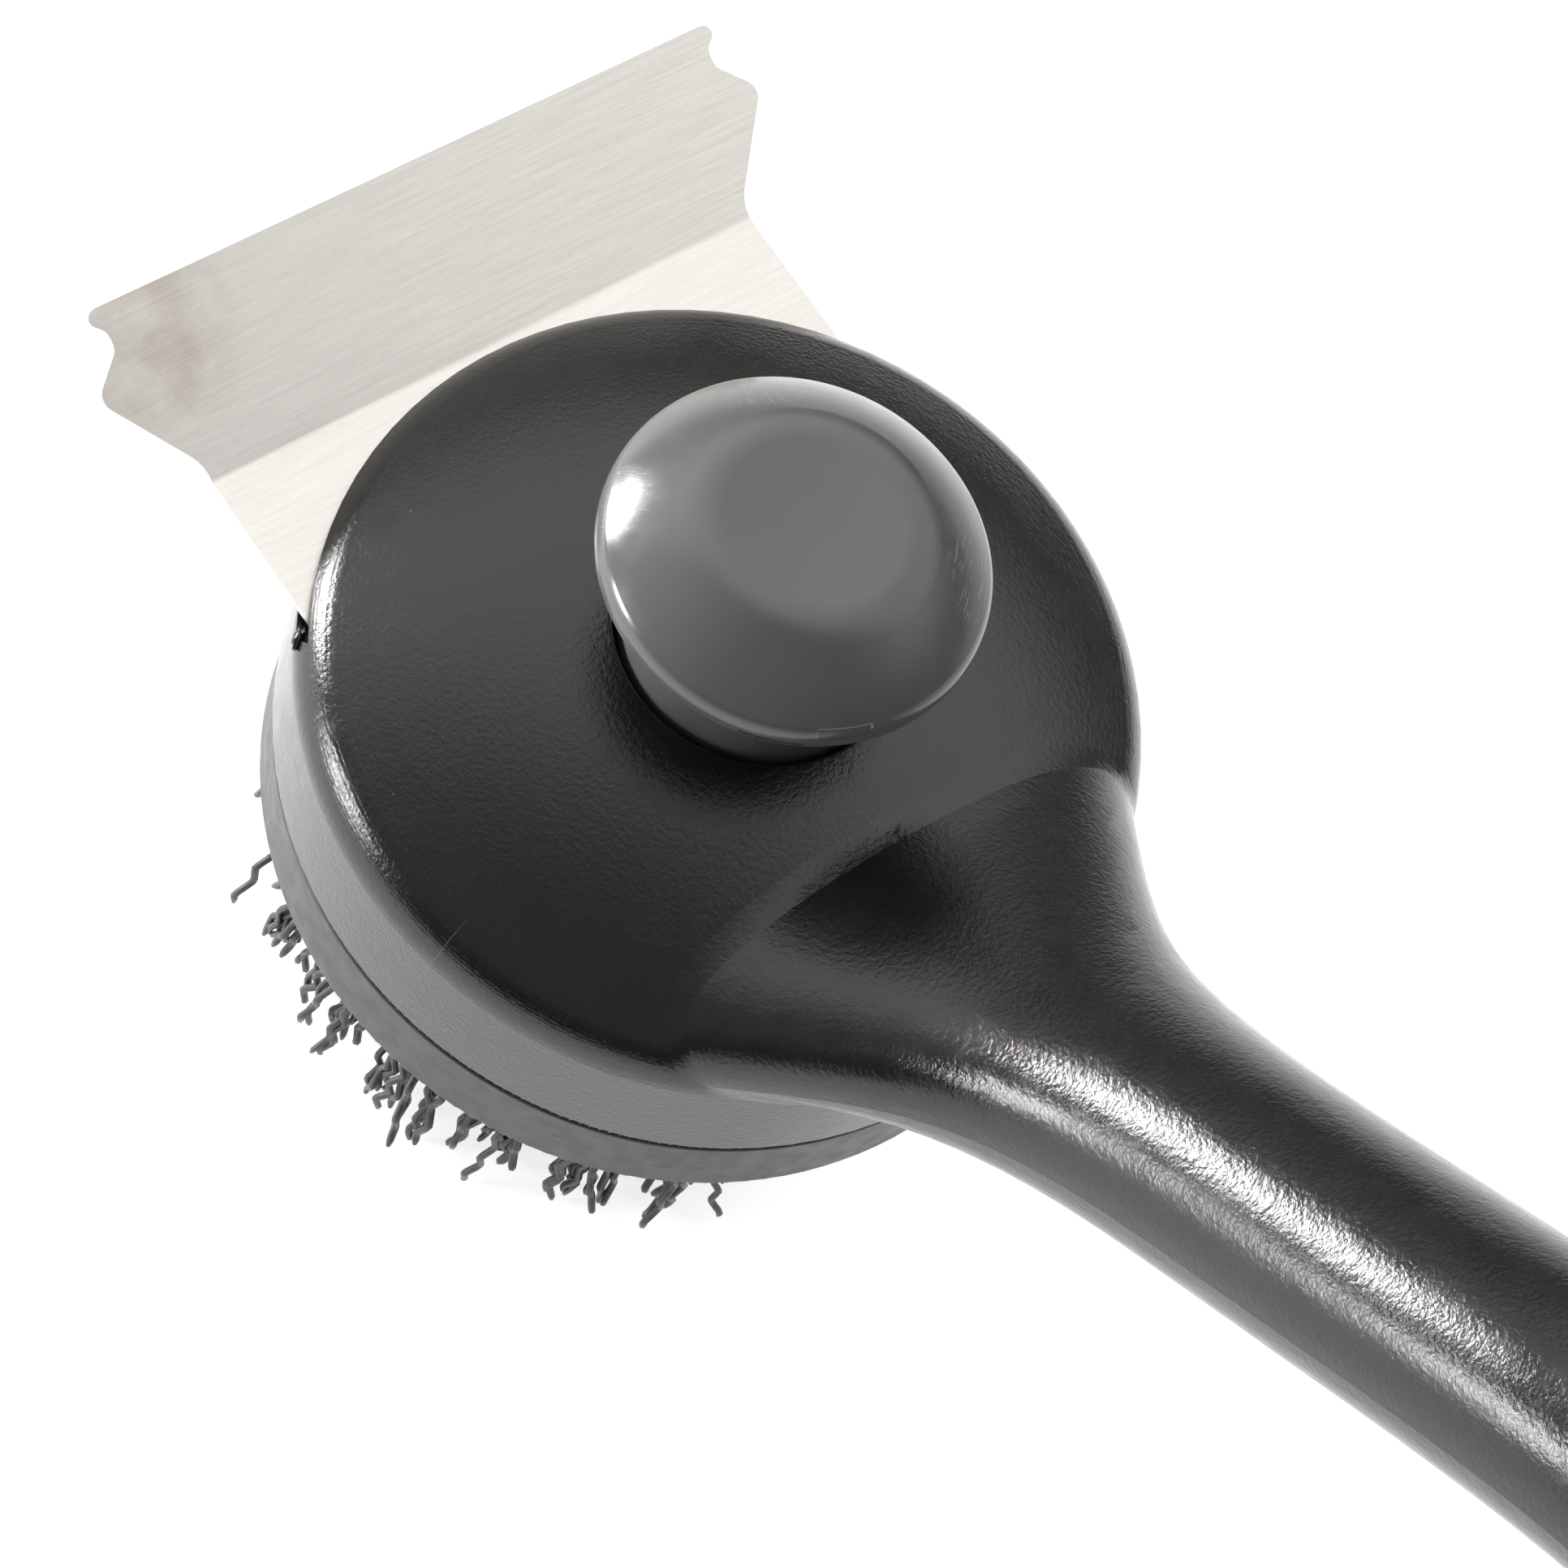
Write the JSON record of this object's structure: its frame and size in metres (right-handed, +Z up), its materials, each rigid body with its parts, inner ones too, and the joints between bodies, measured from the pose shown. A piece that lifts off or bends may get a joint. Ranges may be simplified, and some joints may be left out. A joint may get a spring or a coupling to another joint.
{
  "type": "grill cleaning brush",
  "caption": "Arched-handle grill brush with a turning round disc of crimped nylon tufts, a palm knob that turns it, and a bent, notched stainless scraper.",
  "frame": {"origin": "on the spindle axis, in the plane of the bristle tips that the brush rests on", "axes": "+Z up along the spindle towards the knob, +X from the head towards the handle's end, Y across the symmetric handle"},
  "size_m": [0.4293, 0.11, 0.1726],
  "materials": {
    "black_plastic": "semi-gloss black with a fine leather grain",
    "knob_plastic": "mid grey, glossy with light scratches",
    "disc_plastic": "dark grey, satin",
    "inner_plastic": "black, plain moulded",
    "stainless_steel": "satin stainless sheet",
    "zinc_steel": "zinc-plated",
    "spring_steel": "blued spring steel",
    "bush_plastic": "natural acetal",
    "bristle_nylon": "dark slate crimped nylon"
  },
  "bodies": {
    "handle_and_housing": {"handle_shell": "black_plastic", "handle_insert": "black_plastic", "handle_insert_screws": "zinc_steel", "hanging_cap": "knob_plastic", "hanging_cap_screw": "zinc_steel", "scraper_blade": "stainless_steel", "scraper_clamp_bar": "zinc_steel", "scraper_screws": "zinc_steel", "head_base_plate": "inner_plastic", "base_plate_screws": "zinc_steel", "lower_bush": "bush_plastic", "upper_bush": "bush_plastic", "detent_spring": "spring_steel"},
    "brush_and_knob": {"spindle": "zinc_steel", "spindle_flange_screws": "zinc_steel", "thrust_washer": "bush_plastic", "spring_washer": "spring_steel", "retaining_ring": "spring_steel", "knob_cap": "knob_plastic", "knob_collar": "knob_plastic", "knob_washer": "zinc_steel", "knob_nut": "zinc_steel", "brush_block": "disc_plastic", "serrated_ring": "bush_plastic", "tuft_staples": "zinc_steel", "bristles_ring_0": "bristle_nylon", "bristles_ring_1": "bristle_nylon", "bristles_ring_2": "bristle_nylon", "bristles_ring_3": "bristle_nylon", "bristles_ring_4": "bristle_nylon"}
  },
  "joints": [
    {"name": "brush_spin", "type": "hinge", "parent": "handle_and_housing", "child": "brush_and_knob", "pos_m": [0, 0, 0.05], "axis": [0, 0, 1], "continuous": true}
  ]
}
